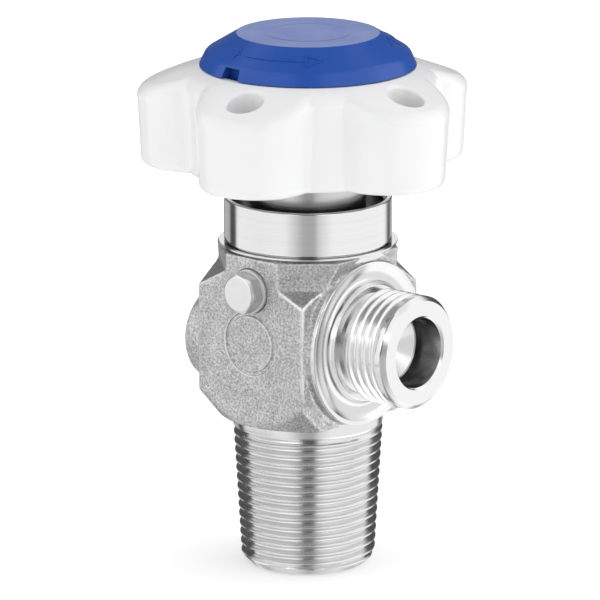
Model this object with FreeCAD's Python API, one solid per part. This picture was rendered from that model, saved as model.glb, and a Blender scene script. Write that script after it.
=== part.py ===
import FreeCAD, Part
import math
import os

# Gas cylinder valve with a diaphragm seal, opened by a five-lobed handwheel.
# Millimetres. +Z runs up the stem from its foot, the outlet points along +X,
# and the burst disc plug is on the -Y face. The valve is shut as drawn.

# Inlet stem, a taper thread drawn at its crests
stem_thread_length = 28.0
stem_plain_length = 1.7
stem_foot_radius = 12.7
stem_taper_per_side = 0.06
stem_foot_chamfer = 1.7
inlet_bore_radius = 4.0

# Forged block
face_half_width = 17.0
side_half_width = 13.1
block_height = 33.1
corner_drop = 8.0
neck_height = 4.6
neck_diagonal = 16.5
facet_turn = 48.0
flare_height = 6.8
flare_half_width = 15.7
under_cone_radius = 17.0
under_cone_height = 5.6
under_cone_reach = 21.5
outlet_corner_fillet = 1.0
boss_corner_fillet = 0.5

# Outlet, boss and pad
outlet_above_shoulder = 15.9
outlet_flange_radius = 15.8
outlet_flange_offset = 0.3
outlet_flange_x = 15.2
outlet_dish_rim_radius = 15.1
outlet_dish_radius = 13.8
outlet_dish_depth = 1.0
outlet_step_radius = 11.2
outlet_step_height = 1.8
outlet_thread_radius = 10.9
outlet_neck_length = 0.9
outlet_end_x = 27.8
outlet_end_chamfer = 0.9
outlet_bore_radius = 6.75
outlet_bore_depth = 6.9
outlet_inner_bore_radius = 2.3
outlet_inner_bore_depth = 10.5
outlet_mouth_chamfer = 0.4
boss_above_shoulder = 11.9
boss_radius = 9.3
boss_x = 23.6
boss_fillet = 0.8
pad_above_shoulder = 16.35
pad_radius = 6.05
pad_groove_width = 0.5
pad_groove_depth = 0.3

# Machined neck above the block
ledge_radius = 17.1
ledge_thickness = 0.5
groove_radius = 15.2
groove_height = 0.4
collar_radius = 16.0
collar_height = 8.4
collar_wall = 1.8
collar_recess_depth = 5.6
collar_lip_chamfer = 0.9

# Chamber, seat and passages inside the body
gland_thread_radius = 13.0
diaphragm_ledge_drop = 2.3
chamber_radius = 9.0
chamber_depth = 7.3
seat_height = 1.2
seat_radius = 4.0
seat_bore_radius = 2.75
seat_bore_length = 4.9
passage_radius = 1.9
relief_passage_radius = 1.0

# Diaphragms, clamp ring and thrust pad
diaphragm_radius = 12.0
diaphragm_thickness = 0.25
dish_depth = 1.8
dish_outer_radius = 8.8
dish_flat_radius = 3.7
clamp_ring_height = 1.2
clamp_ring_bore_radius = 9.0
pad_foot_radius = 3.4
pad_flange_radius = 8.0
pad_flange_thickness = 1.9
pad_rim_clearance = 0.3
slip_washer_radius = 4.7
slip_washer_thickness = 0.5
slip_pocket_depth = 1.0

# Upper spindle and gland nut
spindle_thread_radius = 5.0
spindle_foot_radius = 4.5
spindle_foot_height = 1.2
spindle_square = 8.0
spindle_stud_radius = 3.0
thread_pitch = 1.0
turns_to_open = 1.5
gland_barrel_radius = 11.0
gland_shoulder_height = 0.5
gland_top_above_collar = 8.4
gland_top_chamfer = 0.8
o_ring_section_radius = 1.0
o_ring_depth_below_top = 2.0

# Lower spindle, seat insert and return spring
insert_face_radius = 3.4
insert_flange_radius = 4.2
insert_stand_proud = 0.5
retainer_thickness = 0.7
insert_flange_thickness = 0.9
holder_radius = 5.2
spring_flange_radius = 7.8
spring_flange_thickness = 0.7
plug_tip_radius = 3.3
plug_tip_height = 0.8
spring_mean_radius = 6.5
spring_wire_radius = 0.4
spring_turns = 2.5

# Burst disc port on the -Y face
relief_above_shoulder = 26.7
relief_port_radius = 3.0
relief_port_depth = 5.2
relief_spot_radius = 4.8
relief_spot_depth = 0.4
relief_washer_radius = 4.25
relief_washer_thickness = 1.1
relief_hex_across_flats = 7.0
relief_hex_height = 2.8
relief_hex_turn = -13.0
relief_vent_radius = 1.2
gasket_thickness = 0.5
gasket_bore_radius = 1.5
burst_disc_thickness = 0.3

# Handwheel
wheel_gap = 5.7
wheel_side_height = 15.0
wheel_height = 19.6
lobe_count = 5
first_lobe_angle = -4.5
lobe_centre_radius = 21.2
lobe_radius = 11.6
web_radius = 24.7
wheel_draft = 0.8
valley_fillet = 1.5
wheel_top_fillet = 2.0
wheel_bottom_fillet = 1.2
wheel_wall = 2.8
lobe_hole_radius = 3.4
lobe_hole_pitch_radius = 25.9
holed_lobes = (0, 4)
lobe_tube_wall = 1.8
lobe_tube_rise = 1.2
wheel_rib_thickness = 2.0
wheel_rib_depth = 8.0
hub_radius = 12.8
hub_rise = 1.5
nut_well_radius = 9.6
cap_seat_radius = 19.3
cap_seat_depth = 2.8
ceiling_thickness = 3.0

# Drive insert, lock washer and nut
insert_radius = 7.5
insert_height = 6.0
insert_flat_depth = 0.6
lock_washer_radius = 5.6
lock_washer_thickness = 0.8
nut_across_flats = 10.0
nut_height = 4.5
stud_stand_proud = 1.0

# Cap
cap_radius = 20.7
cap_band_height = 2.7
cap_band_radius = 19.5
cap_height = 6.3
cap_top_radius = 13.6
cap_wall = 1.8
cap_spigot_wall = 1.6
cap_window_width = 4.8
cap_window_height = 2.3
cap_window_angle = -95.5

# Clearances
running_clearance = 0.05
static_clearance = 0.02
moving_gap = 0.3

# Drawing aids: cuts run this far past a face, the cone under the block is drawn
# this many times its height, and edges are told apart to this distance
through = 1.0
cone_overrun = 11.0
close = 0.01

# Levels worked out from the lengths above
shoulder_z = stem_thread_length + stem_plain_length
block_top_z = shoulder_z + block_height
outlet_z = shoulder_z + outlet_above_shoulder
boss_z = shoulder_z + boss_above_shoulder
pad_z = shoulder_z + pad_above_shoulder
relief_z = shoulder_z + relief_above_shoulder
ledge_top_z = block_top_z + ledge_thickness
collar_foot_z = ledge_top_z + groove_height
collar_top_z = collar_foot_z + collar_height
collar_floor_z = collar_top_z - collar_recess_depth
diaphragm_z = block_top_z - diaphragm_ledge_drop
chamber_floor_z = diaphragm_z - chamber_depth
seat_z = chamber_floor_z + seat_height
clamp_z = diaphragm_z + 2.0 * diaphragm_thickness
gland_foot_z = clamp_z + clamp_ring_height
lift = thread_pitch * turns_to_open
pad_foot_z = clamp_z - dish_depth
pad_flange_z = clamp_z + pad_rim_clearance
pad_top_z = pad_flange_z + pad_flange_thickness
slip_z = pad_top_z - slip_pocket_depth
spindle_foot_z = slip_z + slip_washer_thickness
gland_top_z = collar_top_z + gland_top_above_collar
o_ring_z = gland_top_z - o_ring_depth_below_top
hub_z = gland_top_z + hub_rise
insert_top_z = hub_z + insert_height
nut_z = insert_top_z + lock_washer_thickness
wheel_z = collar_top_z + wheel_gap
rim_z = wheel_z + wheel_side_height
wheel_top_z = wheel_z + wheel_height
cap_seat_z = wheel_top_z - cap_seat_depth
ceiling_z = cap_seat_z - ceiling_thickness
wheel_slope = (wheel_top_z - rim_z) / (lobe_centre_radius + lobe_radius - cap_radius)


def tube_z(radius, low, high, x=0.0, y=0.0):
    """A round bar along Z between two levels."""
    return Part.makeCylinder(radius, high - low, FreeCAD.Vector(x, y, low))


def tube_x(radius, low, high, level):
    """A round bar along X between two places, at one level."""
    return Part.makeCylinder(radius, high - low, FreeCAD.Vector(low, 0, level), FreeCAD.Vector(1, 0, 0))


def tube_out(radius, near, far, level):
    """A round bar pointing out of the -Y face, from y = -near to y = -far."""
    return Part.makeCylinder(radius, far - near, FreeCAD.Vector(0, -near, level), FreeCAD.Vector(0, -1, 0))


def drilled(radius, start, end):
    """A round hole between two points."""
    first = FreeCAD.Vector(*start)
    way = FreeCAD.Vector(*end) - first
    return Part.makeCylinder(radius, way.Length, first, way)


def turned(profile):
    """A piece turned about Z from its (radius, level) outline."""
    points = [FreeCAD.Vector(radius, 0, level) for radius, level in profile]
    face = Part.Face(Part.makePolygon(points + points[:1]))
    return face.revolve(FreeCAD.Vector(0, 0, 0), FreeCAD.Vector(0, 0, 1), 360)


def turned_on_outlet(profile):
    """A piece turned about the outlet's axis from its (place along X, radius) outline."""
    points = [FreeCAD.Vector(place, 0, outlet_z + radius) for place, radius in profile]
    face = Part.Face(Part.makePolygon(points + points[:1]))
    return face.revolve(FreeCAD.Vector(0, 0, outlet_z), FreeCAD.Vector(1, 0, 0), 360)


def prism(points, way):
    """A closed outline pushed along one way."""
    return Part.Face(Part.makePolygon(points + points[:1])).extrude(way)


def hexagon(across_flats, low, high):
    """A hexagonal bar along Z with two corners on X."""
    corner = across_flats / math.sqrt(3.0)
    points = [
        FreeCAD.Vector(corner * math.cos(math.radians(60 * k)), corner * math.sin(math.radians(60 * k)), low)
        for k in range(6)
    ]
    return prism(points, FreeCAD.Vector(0, 0, high - low))


def turned_round(shape, angle):
    """A copy of a shape, turned about the stem's axis."""
    copy = shape.copy()
    copy.rotate(FreeCAD.Vector(0, 0, 0), FreeCAD.Vector(0, 0, 1), angle)
    return copy


def fuse(shapes):
    """One solid from several, with the seams between coplanar faces removed."""
    return shapes[0].fuse(list(shapes[1:])).removeSplitter()


def save(name, shape):
    """Checks one piece and writes it to its own file."""
    if not shape.isValid() or not shape.Solids:
        raise ValueError(name + " is not a sound solid")
    shape.exportStep("parts/" + name + ".step")
    print(name, len(shape.Solids), "solid,", round(shape.Volume, 1), "cubic mm")


def stem():
    """The tapered inlet stem, with a plain shoulder under the block."""
    top_radius = stem_foot_radius + stem_taper_per_side * stem_thread_length
    return turned([
        (0, 0),
        (stem_foot_radius - stem_foot_chamfer, 0),
        (stem_foot_radius + stem_taper_per_side * stem_foot_chamfer, stem_foot_chamfer),
        (top_radius, stem_thread_length),
        (top_radius, shoulder_z + through),
        (0, shoulder_z + through),
    ])


def corner_cutter(turn):
    """The wedge that takes one upper corner off the block and leaves the sloping facet."""
    lean = math.radians(facet_turn)
    corner = side_half_width * math.cos(lean) + face_half_width * math.sin(lean)
    neck_base_z = block_top_z - neck_height
    corner_top_z = block_top_z - corner_drop
    slope = (neck_base_z - corner_top_z) / (corner - neck_diagonal)
    far = corner + neck_diagonal
    outline = [
        FreeCAD.Vector(neck_diagonal, -far, neck_base_z),
        FreeCAD.Vector(far, -far, neck_base_z - slope * (far - neck_diagonal)),
        FreeCAD.Vector(far, -far, block_top_z + through),
        FreeCAD.Vector(neck_diagonal, -far, block_top_z + through),
    ]
    wedge = prism(outline, FreeCAD.Vector(0, 2.0 * far, 0))
    return turned_round(wedge, turn)


def forging():
    """The forged block: flat faces, flared sides, sloping corner facets and a coned underside."""
    block = Part.makeBox(
        2 * side_half_width, 2 * face_half_width, block_height,
        FreeCAD.Vector(-side_half_width, -face_half_width, shoulder_z))
    flare = prism([
        FreeCAD.Vector(-side_half_width, -face_half_width, block_top_z - flare_height),
        FreeCAD.Vector(side_half_width, -face_half_width, block_top_z - flare_height),
        FreeCAD.Vector(flare_half_width, -face_half_width, block_top_z),
        FreeCAD.Vector(-flare_half_width, -face_half_width, block_top_z),
    ], FreeCAD.Vector(0, 2 * face_half_width, 0))
    shape = fuse([block, flare])
    for turn in (facet_turn, -facet_turn, 180.0 - facet_turn, 180.0 + facet_turn):
        shape = shape.cut(corner_cutter(turn))
    cone_radius = under_cone_radius + cone_overrun * (under_cone_reach - under_cone_radius)
    cone_z = shoulder_z + cone_overrun * under_cone_height
    cone = turned([
        (0, shoulder_z),
        (under_cone_radius, shoulder_z),
        (cone_radius, cone_z),
        (0, cone_z),
    ])
    shape = shape.common(cone).removeSplitter()
    for side, radius in ((1, outlet_corner_fillet), (-1, boss_corner_fillet)):
        upright = [edge for edge in shape.Edges if is_block_corner(edge, side)]
        shape = shape.makeFillet(radius, upright)
    return shape


def is_block_corner(edge, side):
    """True for the block's two upright corner edges on one side of X."""
    first, last = edge.Vertexes[0].Point, edge.Vertexes[-1].Point
    upright = abs(first.x - last.x) < close and abs(first.y - last.y) < close
    at_corner = abs(side * first.x - side_half_width) < close and abs(abs(first.y) - face_half_width) < close
    return upright and at_corner


def outlet_flange():
    """The forged round flange of the outlet, which sits a little low and toward the plug's face."""
    back_x = side_half_width - through
    back = FreeCAD.Vector(back_x, -outlet_flange_offset, outlet_z - outlet_flange_offset)
    return Part.makeCylinder(outlet_flange_radius, outlet_flange_x - back_x, back, FreeCAD.Vector(1, 0, 0))


def outlet_dish():
    """The shallow dish turned into the flange's face."""
    dish_x = outlet_flange_x - outlet_dish_depth
    return turned_on_outlet([
        (dish_x, 0),
        (dish_x, outlet_dish_radius),
        (outlet_flange_x, outlet_dish_rim_radius),
        (outlet_flange_x + through, outlet_dish_rim_radius),
        (outlet_flange_x + through, 0),
    ])


def outlet_spigot():
    """The threaded spigot of the outlet with its shoulder, turned about its axis."""
    step_x = outlet_flange_x - outlet_dish_depth + outlet_step_height
    thread_x = step_x + outlet_neck_length
    return turned_on_outlet([
        (0, 0),
        (0, outlet_step_radius),
        (step_x, outlet_step_radius),
        (thread_x, outlet_thread_radius),
        (outlet_end_x - outlet_end_chamfer, outlet_thread_radius),
        (outlet_end_x, outlet_thread_radius - outlet_end_chamfer),
        (outlet_end_x, 0),
    ])


def blind_boss():
    """The plain round boss of the forging opposite the outlet."""
    boss = tube_x(boss_radius, -boss_x, 0, boss_z)
    end = [edge for edge in boss.Edges if abs(edge.BoundBox.XMax + boss_x) < close]
    return boss.makeFillet(boss_fillet, end)


def neck():
    """The ledge, groove and collar machined on top of the block."""
    lip = collar_radius - collar_wall
    return turned([
        (0, block_top_z - through),
        (groove_radius, block_top_z - through),
        (groove_radius, block_top_z),
        (ledge_radius, block_top_z),
        (ledge_radius, ledge_top_z),
        (groove_radius, ledge_top_z),
        (groove_radius, collar_foot_z),
        (collar_radius, collar_foot_z),
        (collar_radius, collar_top_z),
        (lip + collar_lip_chamfer, collar_top_z),
        (lip, collar_top_z - collar_lip_chamfer),
        (lip, collar_floor_z),
        (0, collar_floor_z),
    ])


def body_cavities():
    """Everything that is bored out of the body."""
    bore_floor_x = outlet_end_x - outlet_bore_depth
    bore_end_x = outlet_end_x - outlet_inner_bore_depth
    centre = turned([
        (0, -through),
        (inlet_bore_radius, -through),
        (inlet_bore_radius, seat_z - seat_bore_length),
        (seat_bore_radius, seat_z - seat_bore_length),
        (seat_bore_radius, seat_z),
        (seat_radius, seat_z),
        (seat_radius, chamber_floor_z),
        (chamber_radius, chamber_floor_z),
        (chamber_radius, diaphragm_z),
        (diaphragm_radius + static_clearance, diaphragm_z),
        (diaphragm_radius + static_clearance, gland_foot_z),
        (gland_thread_radius, gland_foot_z),
        (gland_thread_radius, collar_floor_z + through),
        (0, collar_floor_z + through),
    ])
    outlet = turned_on_outlet([
        (bore_end_x, 0),
        (bore_end_x, outlet_inner_bore_radius),
        (bore_floor_x, outlet_inner_bore_radius),
        (bore_floor_x, outlet_bore_radius),
        (outlet_end_x - outlet_mouth_chamfer, outlet_bore_radius),
        (outlet_end_x + through, outlet_bore_radius + outlet_mouth_chamfer + through),
        (outlet_end_x + through, 0),
    ])
    port_end_y = face_half_width - relief_port_depth
    passage = drilled(
        passage_radius,
        (chamber_radius - passage_radius, 0, chamber_floor_z + through),
        (bore_end_x + passage_radius, 0, outlet_z + outlet_inner_bore_radius - passage_radius))
    relief = drilled(
        relief_passage_radius,
        (0, -port_end_y, relief_z - relief_passage_radius),
        (0, -inlet_bore_radius + through, outlet_z - inlet_bore_radius))
    port = tube_out(relief_port_radius, port_end_y, face_half_width + through, relief_z)
    clear_y = face_half_width + through
    spot = tube_out(relief_spot_radius, face_half_width - relief_spot_depth, clear_y, relief_z)
    groove = tube_out(pad_radius, face_half_width - pad_groove_depth, clear_y, pad_z)
    island = tube_out(pad_radius - pad_groove_width, 0, clear_y + through, pad_z)
    return [centre, outlet, passage, relief, port, spot, groove.cut(island)]


def valve_body():
    """The one-piece body: forging, stem, outlet and neck, bored out."""
    shape = fuse([forging(), stem(), outlet_flange()]).cut(outlet_dish())
    shape = fuse([shape, outlet_spigot(), blind_boss(), neck()])
    for cavity in body_cavities():
        shape = shape.cut(cavity)
    return shape.removeSplitter()


def gland_nut():
    """The nut that clamps the diaphragms and carries the upper spindle's thread."""
    bore = spindle_thread_radius + running_clearance
    thread = gland_thread_radius - static_clearance
    cavity_z = pad_top_z + lift + moving_gap
    shoulder_top_z = collar_floor_z + gland_shoulder_height
    groove_low = o_ring_z - o_ring_section_radius - static_clearance
    groove_high = o_ring_z + o_ring_section_radius + static_clearance
    groove = bore + 2 * o_ring_section_radius + running_clearance
    return turned([
        (clamp_ring_bore_radius, gland_foot_z),
        (thread, gland_foot_z),
        (thread, shoulder_top_z),
        (gland_barrel_radius, shoulder_top_z),
        (gland_barrel_radius, gland_top_z - gland_top_chamfer),
        (gland_barrel_radius - gland_top_chamfer, gland_top_z),
        (bore, gland_top_z),
        (bore, groove_high),
        (groove, groove_high),
        (groove, groove_low),
        (bore, groove_low),
        (bore, cavity_z),
        (clamp_ring_bore_radius, cavity_z),
    ])


def spindle_o_ring():
    """The O-ring in the gland nut that wipes the upper spindle."""
    centre = spindle_thread_radius + running_clearance + o_ring_section_radius
    return Part.makeTorus(centre, o_ring_section_radius, FreeCAD.Vector(0, 0, o_ring_z))


def clamp_ring():
    """The ring that the gland nut presses on the rims of the diaphragms."""
    outer = tube_z(diaphragm_radius, clamp_z, gland_foot_z)
    return outer.cut(tube_z(clamp_ring_bore_radius, clamp_z - through, gland_foot_z + through))


def diaphragm(rim_z):
    """One thin disc, clamped at its rim and pushed down in the middle."""
    top_z = rim_z + diaphragm_thickness
    return turned([
        (0, rim_z - dish_depth),
        (dish_flat_radius, rim_z - dish_depth),
        (dish_outer_radius, rim_z),
        (diaphragm_radius, rim_z),
        (diaphragm_radius, top_z),
        (dish_outer_radius, top_z),
        (dish_flat_radius, top_z - dish_depth),
        (0, top_z - dish_depth),
    ])


def thrust_pad():
    """The pad that pushes on the diaphragms without turning."""
    pocket = slip_washer_radius + static_clearance
    return turned([
        (0, pad_foot_z),
        (pad_foot_radius, pad_foot_z),
        (pad_foot_radius, pad_flange_z),
        (pad_flange_radius, pad_flange_z),
        (pad_flange_radius, pad_top_z),
        (pocket, pad_top_z),
        (pocket, slip_z),
        (0, slip_z),
    ])


def upper_spindle():
    """The threaded spindle: foot, thread, square for the wheel and stud for its nut."""
    thread = turned([
        (0, spindle_foot_z),
        (spindle_foot_radius, spindle_foot_z),
        (spindle_foot_radius, spindle_foot_z + spindle_foot_height),
        (spindle_thread_radius, spindle_foot_z + spindle_foot_height),
        (spindle_thread_radius, hub_z),
        (0, hub_z),
    ])
    half = spindle_square / 2.0
    square = Part.makeBox(
        spindle_square, spindle_square, insert_height,
        FreeCAD.Vector(-half, -half, hub_z)).common(tube_z(spindle_thread_radius, hub_z, insert_top_z))
    stud = tube_z(spindle_stud_radius, insert_top_z, nut_z + nut_height + stud_stand_proud)
    return fuse([thread, square, stud])


def lower_spindle():
    """The plug carrier that the spring lifts: insert pocket, spring flange and tip."""
    retainer_z = seat_z + insert_stand_proud
    holder_z = retainer_z + retainer_thickness
    pocket = insert_flange_radius + static_clearance
    top_z = diaphragm_z - dish_depth
    tip_z = top_z - plug_tip_height
    flange_z = tip_z - spring_flange_thickness
    return turned([
        (0, holder_z + insert_flange_thickness),
        (pocket, holder_z + insert_flange_thickness),
        (pocket, holder_z),
        (holder_radius, holder_z),
        (holder_radius, flange_z),
        (spring_flange_radius, flange_z),
        (spring_flange_radius, tip_z),
        (plug_tip_radius, tip_z),
        (plug_tip_radius, top_z),
        (0, top_z),
    ])


def seat_insert():
    """The plastic disc that shuts on the seat."""
    flange_z = seat_z + insert_stand_proud + retainer_thickness
    return turned([
        (0, seat_z),
        (insert_face_radius, seat_z),
        (insert_face_radius, flange_z),
        (insert_flange_radius, flange_z),
        (insert_flange_radius, flange_z + insert_flange_thickness),
        (0, flange_z + insert_flange_thickness),
    ])


def seat_retainer():
    """The ring that holds the insert in the lower spindle."""
    low = seat_z + insert_stand_proud
    ring = tube_z(holder_radius, low, low + retainer_thickness)
    return ring.cut(tube_z(insert_face_radius + static_clearance, low - through, low + through))


def return_spring():
    """The coil spring between the chamber floor and the lower spindle's flange."""
    flange_z = diaphragm_z - dish_depth - plug_tip_height - spring_flange_thickness
    low = chamber_floor_z + spring_wire_radius + static_clearance
    high = flange_z - spring_wire_radius - static_clearance
    pitch = (high - low) / spring_turns
    path = Part.makeHelix(pitch, high - low, spring_mean_radius)
    path.translate(FreeCAD.Vector(0, 0, low))
    start = FreeCAD.Vector(spring_mean_radius, 0, low)
    section = Part.Wire(Part.makeCircle(spring_wire_radius, start, FreeCAD.Vector(0, 1, 0)))
    return Part.Wire(path.Edges).makePipeShell([section], True, True)


def relief_port_end():
    """Distance from the stem's axis to the bottom of the burst disc port."""
    return face_half_width - relief_port_depth


def disc_gasket():
    """The ring under the burst disc."""
    low = relief_port_end()
    ring = tube_out(relief_port_radius - static_clearance, low, low + gasket_thickness, relief_z)
    return ring.cut(tube_out(gasket_bore_radius, low - through, low + gasket_thickness + through, relief_z))


def burst_disc():
    """The thin disc that bursts if the cylinder's pressure climbs too high."""
    low = relief_port_end() + gasket_thickness
    return tube_out(relief_port_radius - static_clearance, low, low + burst_disc_thickness, relief_z)


def relief_washer():
    """The round washer under the plug's hexagon."""
    low = face_half_width - relief_spot_depth
    ring = tube_out(relief_washer_radius, low, low + relief_washer_thickness, relief_z)
    bore = relief_port_radius + static_clearance
    return ring.cut(tube_out(bore, low - through, low + relief_washer_thickness + through, relief_z))


def relief_plug():
    """The hexagon plug that holds the burst disc, with its vent bore."""
    tip = relief_port_end() + gasket_thickness + burst_disc_thickness
    seat = face_half_width - relief_spot_depth + relief_washer_thickness
    shank = tube_out(relief_port_radius - static_clearance, tip, seat, relief_z)
    head = hexagon(relief_hex_across_flats, 0, relief_hex_height)
    head.rotate(FreeCAD.Vector(0, 0, 0), FreeCAD.Vector(0, 0, 1), relief_hex_turn)
    head.rotate(FreeCAD.Vector(0, 0, 0), FreeCAD.Vector(1, 0, 0), 90)
    head.translate(FreeCAD.Vector(0, -seat, relief_z))
    corner = relief_hex_across_flats / math.sqrt(3.0)
    dome = Part.makeCone(
        corner + relief_hex_height, corner - through / 2.0, relief_hex_height + through / 2.0,
        FreeCAD.Vector(0, -seat, relief_z), FreeCAD.Vector(0, -1, 0))
    vent = tube_out(relief_vent_radius, tip - through, seat + relief_hex_height / 2.0, relief_z)
    return fuse([shank, head.common(dome)]).cut(vent)


def lobed_block(inset, low, high):
    """The wheel's outline as a drafted block: a round web and five round lobes, moved in by inset."""
    share_low = (low - rim_z) / wheel_side_height
    share_high = (high - rim_z) / wheel_side_height

    def drafted(radius, x, y):
        low_radius = radius - inset + wheel_draft * share_low
        high_radius = radius - inset + wheel_draft * share_high
        return Part.makeCone(low_radius, high_radius, high - low, FreeCAD.Vector(x, y, low))

    shape = drafted(web_radius, 0.0, 0.0)
    for x, y in on_lobes(lobe_centre_radius):
        shape = shape.fuse(drafted(lobe_radius, x, y))
    return shape.removeSplitter()


def lobe_angles():
    """The directions of the lobes."""
    return [first_lobe_angle + 360.0 / lobe_count * k for k in range(lobe_count)]


def on_lobes(radius):
    """One point in each lobe's direction, at a distance from the axis."""
    turns = [math.radians(angle) for angle in lobe_angles()]
    return [(radius * math.cos(turn), radius * math.sin(turn)) for turn in turns]


def lobe_holes():
    """The middles of the upright holes, one in each holed lobe."""
    middles = on_lobes(lobe_hole_pitch_radius)
    return [middles[lobe] for lobe in holed_lobes]


def under_wheel_top(drop, flat_radius, flat_z):
    """Everything under the wheel's coned top, lowered by drop, with a flat middle."""
    reach = 2.0 * (lobe_centre_radius + lobe_radius)
    cone_z = wheel_top_z - drop
    edge_z = cone_z - wheel_slope * (reach - cap_radius)
    return turned([
        (0, wheel_z - wheel_height),
        (reach, wheel_z - wheel_height),
        (reach, edge_z),
        (flat_radius, cone_z - wheel_slope * (flat_radius - cap_radius)),
        (flat_radius, flat_z),
        (0, flat_z),
    ])


def wheel_outside():
    """The wheel's outer form, with soft valleys and rounded upper and lower edges."""
    block = lobed_block(0.0, wheel_z, wheel_top_z + through)
    creases = [edge for edge in block.Edges if is_valley_edge(edge)]
    block = block.makeFillet(valley_fillet, creases)
    block = block.common(under_wheel_top(0.0, cap_radius, wheel_top_z))
    foot_z = wheel_z + close
    upper = [edge for edge in block.Edges if is_outline_edge(edge) and edge.BoundBox.ZMin > foot_z]
    block = block.makeFillet(wheel_top_fillet, upper)
    lower = [edge for edge in block.Edges if is_outline_edge(edge) and edge.BoundBox.ZMax < foot_z]
    return block.makeFillet(wheel_bottom_fillet, lower)


def is_valley_edge(edge):
    """True for the upright edges where a lobe meets the round web."""
    return edge.BoundBox.ZLength > wheel_side_height


def is_outline_edge(edge):
    """True for edges of the wheel's outline, outside the cap."""
    centre = edge.BoundBox.Center
    flat = edge.BoundBox.ZLength < wheel_side_height / 2.0
    return flat and math.hypot(centre.x, centre.y) > cap_radius + through / 2.0


def wheel_hollow():
    """The hollow under the wheel, left by the hub, ribs and hole tubes."""
    roof_drop = wheel_wall / math.cos(math.atan(wheel_slope))
    hollow = lobed_block(wheel_wall, wheel_z - through, wheel_top_z)
    hollow = hollow.common(under_wheel_top(roof_drop, cap_radius, ceiling_z))
    kept = [tube_z(hub_radius, hub_z, wheel_top_z)]
    tube_radius = lobe_hole_radius + lobe_tube_wall
    for x, y in lobe_holes():
        kept.append(tube_z(tube_radius, wheel_z + lobe_tube_rise, wheel_top_z, x, y))
    rib = Part.makeBox(
        web_radius - hub_radius + through, wheel_rib_thickness, wheel_top_z - rim_z + wheel_rib_depth,
        FreeCAD.Vector(hub_radius - through, -wheel_rib_thickness / 2.0, rim_z - wheel_rib_depth))
    for angle in lobe_angles():
        kept.append(turned_round(rib, angle + 180.0 / lobe_count))
    return hollow.cut(kept)


def handwheel():
    """The moulded five-lobed handwheel."""
    wheel = wheel_outside().cut(wheel_hollow())
    well = turned([
        (0, insert_top_z),
        (nut_well_radius, insert_top_z),
        (nut_well_radius, cap_seat_z),
        (cap_seat_radius, cap_seat_z),
        (cap_seat_radius, wheel_top_z + through),
        (0, wheel_top_z + through),
    ])
    wheel = wheel.cut(well).cut(insert_blank(hub_z - through, insert_top_z + through))
    for x, y in lobe_holes():
        wheel = wheel.cut(tube_z(lobe_hole_radius, wheel_z - through, wheel_top_z + through, x, y))
    return wheel


def insert_blank(low, high):
    """The outside of the drive insert: a round bar with two flats that stop it turning."""
    bar = tube_z(insert_radius, low, high)
    flat = insert_radius - insert_flat_depth
    slab = Part.makeBox(2 * flat, 2 * insert_radius, high - low, FreeCAD.Vector(-flat, -insert_radius, low))
    return bar.common(slab)


def drive_insert():
    """The metal insert in the hub, with a square hole for the spindle."""
    half = spindle_square / 2.0 + static_clearance
    corner = FreeCAD.Vector(-half, -half, hub_z - through)
    hole = Part.makeBox(2 * half, 2 * half, insert_height + 2 * through, corner)
    core = tube_z(spindle_thread_radius + static_clearance, hub_z - through, insert_top_z + through)
    return insert_blank(hub_z, insert_top_z).cut(hole.common(core))


def lock_washer():
    """The washer under the wheel nut."""
    washer = tube_z(lock_washer_radius, insert_top_z, nut_z)
    return washer.cut(tube_z(spindle_stud_radius + static_clearance, insert_top_z - through, nut_z + through))


def wheel_nut():
    """The hexagon nut that holds the wheel on the spindle."""
    top_z = nut_z + nut_height
    bore = tube_z(spindle_stud_radius + static_clearance, nut_z - through, top_z + through)
    return hexagon(nut_across_flats, nut_z, top_z).cut(bore)


def colour_cap():
    """The coned cap, a thin shell with a spigot that snaps into the wheel."""
    band_z = wheel_top_z + cap_band_height
    top_z = wheel_top_z + cap_height
    spigot = cap_seat_radius - static_clearance
    inner = spigot - cap_spigot_wall
    shell = turned([
        (inner, cap_seat_z),
        (spigot, cap_seat_z),
        (spigot, wheel_top_z),
        (cap_radius, wheel_top_z),
        (cap_band_radius, band_z),
        (cap_top_radius, top_z),
        (0, top_z),
        (0, top_z - cap_wall),
        (cap_top_radius - cap_wall / 2.0, top_z - cap_wall),
        (inner, band_z - cap_wall / 2.0),
    ])
    window = Part.makeBox(
        2 * cap_wall, cap_window_width, cap_window_height,
        FreeCAD.Vector(cap_radius - cap_wall, -cap_window_width / 2.0, wheel_top_z))
    return shell.cut(turned_round(window, cap_window_angle))


save("valve_body", valve_body())
save("gland_nut", gland_nut())
save("spindle_o_ring", spindle_o_ring())
save("clamp_ring", clamp_ring())
save("sealing_diaphragm", diaphragm(diaphragm_z))
save("backing_diaphragm", diaphragm(diaphragm_z + diaphragm_thickness))
save("thrust_pad", thrust_pad())
save("slip_washer", tube_z(slip_washer_radius, slip_z, spindle_foot_z))
save("upper_spindle", upper_spindle())
save("lower_spindle", lower_spindle())
save("seat_insert", seat_insert())
save("seat_retainer", seat_retainer())
save("return_spring", return_spring())
save("relief_plug", relief_plug())
save("relief_washer", relief_washer())
save("burst_disc", burst_disc())
save("disc_gasket", disc_gasket())
save("handwheel", handwheel())
save("drive_insert", drive_insert())
save("lock_washer", lock_washer())
save("wheel_nut", wheel_nut())
save("colour_cap", colour_cap())
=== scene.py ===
# Gas cylinder valve: a blasted steel body with turned and threaded ends under a white lobed handwheel.
# Pieces are modelled in millimetres and scaled to metres when their mesh is made.
from math import atan, atan2, cos, hypot, pi, radians, sin, sqrt, tan
import bmesh
import bpy
from mathutils import Matrix, Vector, noise


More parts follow.
